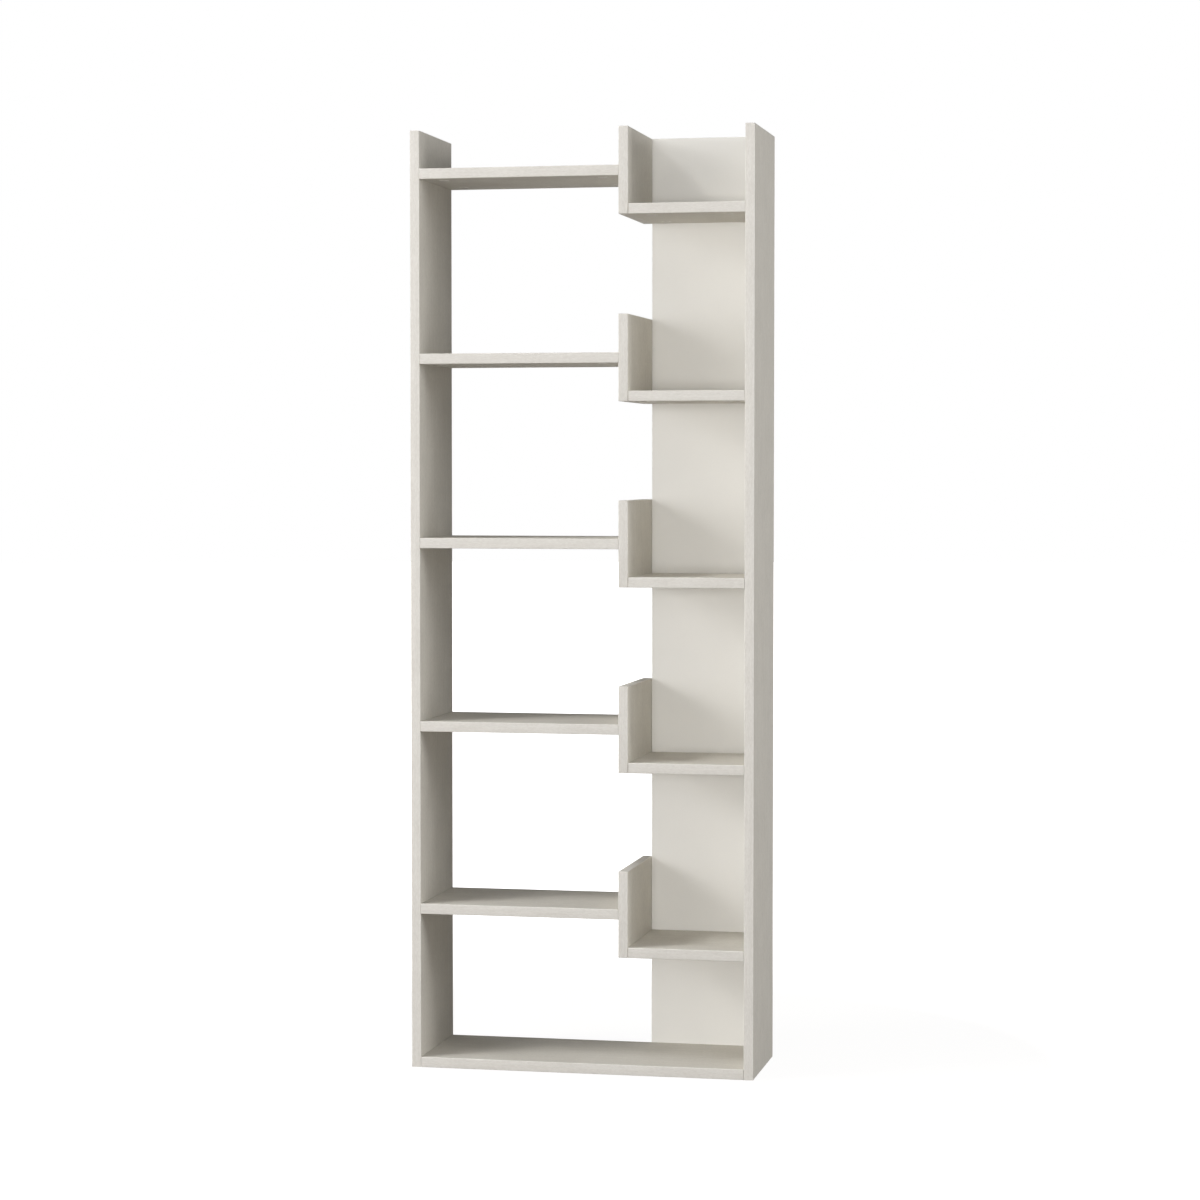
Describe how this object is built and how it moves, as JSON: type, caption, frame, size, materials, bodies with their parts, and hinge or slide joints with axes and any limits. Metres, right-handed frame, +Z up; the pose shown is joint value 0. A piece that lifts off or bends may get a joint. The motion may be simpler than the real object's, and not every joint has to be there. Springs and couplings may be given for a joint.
{
  "type": "open bookcase",
  "caption": "Tall, slim open bookcase in cream melamine board: a wide and a narrow shelf column staggered on short shared dividers, with a back panel behind the narrow column only.",
  "frame": {"origin": "on the floor, at the middle of the footprint", "axes": "+Z up, +Y towards the wall behind, front facing -Y, +X to the right as seen from the front (narrow column at +X)"},
  "size_m": [0.605, 0.224, 1.634],
  "materials": {
    "cream_melamine": "satin melamine facing with a fine linen-like grain, on particle board",
    "cream_edge_band": "satin edge band, 1 mm, rounded arrises",
    "painted_hardboard": "smooth matt painted face",
    "beech": "raw turned beech"
  },
  "bodies": {
    "root": {"left_side_panel": "cream_melamine", "right_side_panel": "cream_melamine", "base": "cream_melamine", "wide_shelf_1": "cream_melamine", "wide_shelf_2": "cream_melamine", "wide_shelf_3": "cream_melamine", "wide_shelf_4": "cream_melamine", "wide_shelf_5": "cream_melamine", "narrow_shelf_1": "cream_melamine", "narrow_shelf_2": "cream_melamine", "narrow_shelf_3": "cream_melamine", "narrow_shelf_4": "cream_melamine", "narrow_shelf_5": "cream_melamine", "divider_1": "cream_melamine", "divider_2": "cream_melamine", "divider_3": "cream_melamine", "divider_4": "cream_melamine", "divider_5": "cream_melamine", "back_panel": "painted_hardboard", "left_side_band": "cream_edge_band", "right_side_band": "cream_edge_band", "base_band": "cream_edge_band", "wide_shelf_1_band": "cream_edge_band", "wide_shelf_2_band": "cream_edge_band", "wide_shelf_3_band": "cream_edge_band", "wide_shelf_4_band": "cream_edge_band", "wide_shelf_5_band": "cream_edge_band", "narrow_shelf_1_band": "cream_edge_band", "narrow_shelf_2_band": "cream_edge_band", "narrow_shelf_3_band": "cream_edge_band", "narrow_shelf_4_band": "cream_edge_band", "narrow_shelf_5_band": "cream_edge_band", "divider_1_band": "cream_edge_band", "divider_2_band": "cream_edge_band", "divider_3_band": "cream_edge_band", "divider_4_band": "cream_edge_band", "divider_5_band": "cream_edge_band", "base_left_dowel": "beech", "base_right_dowel": "beech", "wide_shelf_1_left_dowel": "beech", "wide_shelf_1_right_dowel": "beech", "wide_shelf_2_left_dowel": "beech", "wide_shelf_2_right_dowel": "beech", "wide_shelf_3_left_dowel": "beech", "wide_shelf_3_right_dowel": "beech", "wide_shelf_4_left_dowel": "beech", "wide_shelf_4_right_dowel": "beech", "wide_shelf_5_left_dowel": "beech", "wide_shelf_5_right_dowel": "beech", "narrow_shelf_1_left_dowel": "beech", "narrow_shelf_1_right_dowel": "beech", "narrow_shelf_2_left_dowel": "beech", "narrow_shelf_2_right_dowel": "beech", "narrow_shelf_3_left_dowel": "beech", "narrow_shelf_3_right_dowel": "beech", "narrow_shelf_4_left_dowel": "beech", "narrow_shelf_4_right_dowel": "beech", "narrow_shelf_5_left_dowel": "beech", "narrow_shelf_5_right_dowel": "beech"}
  },
  "joints": []
}
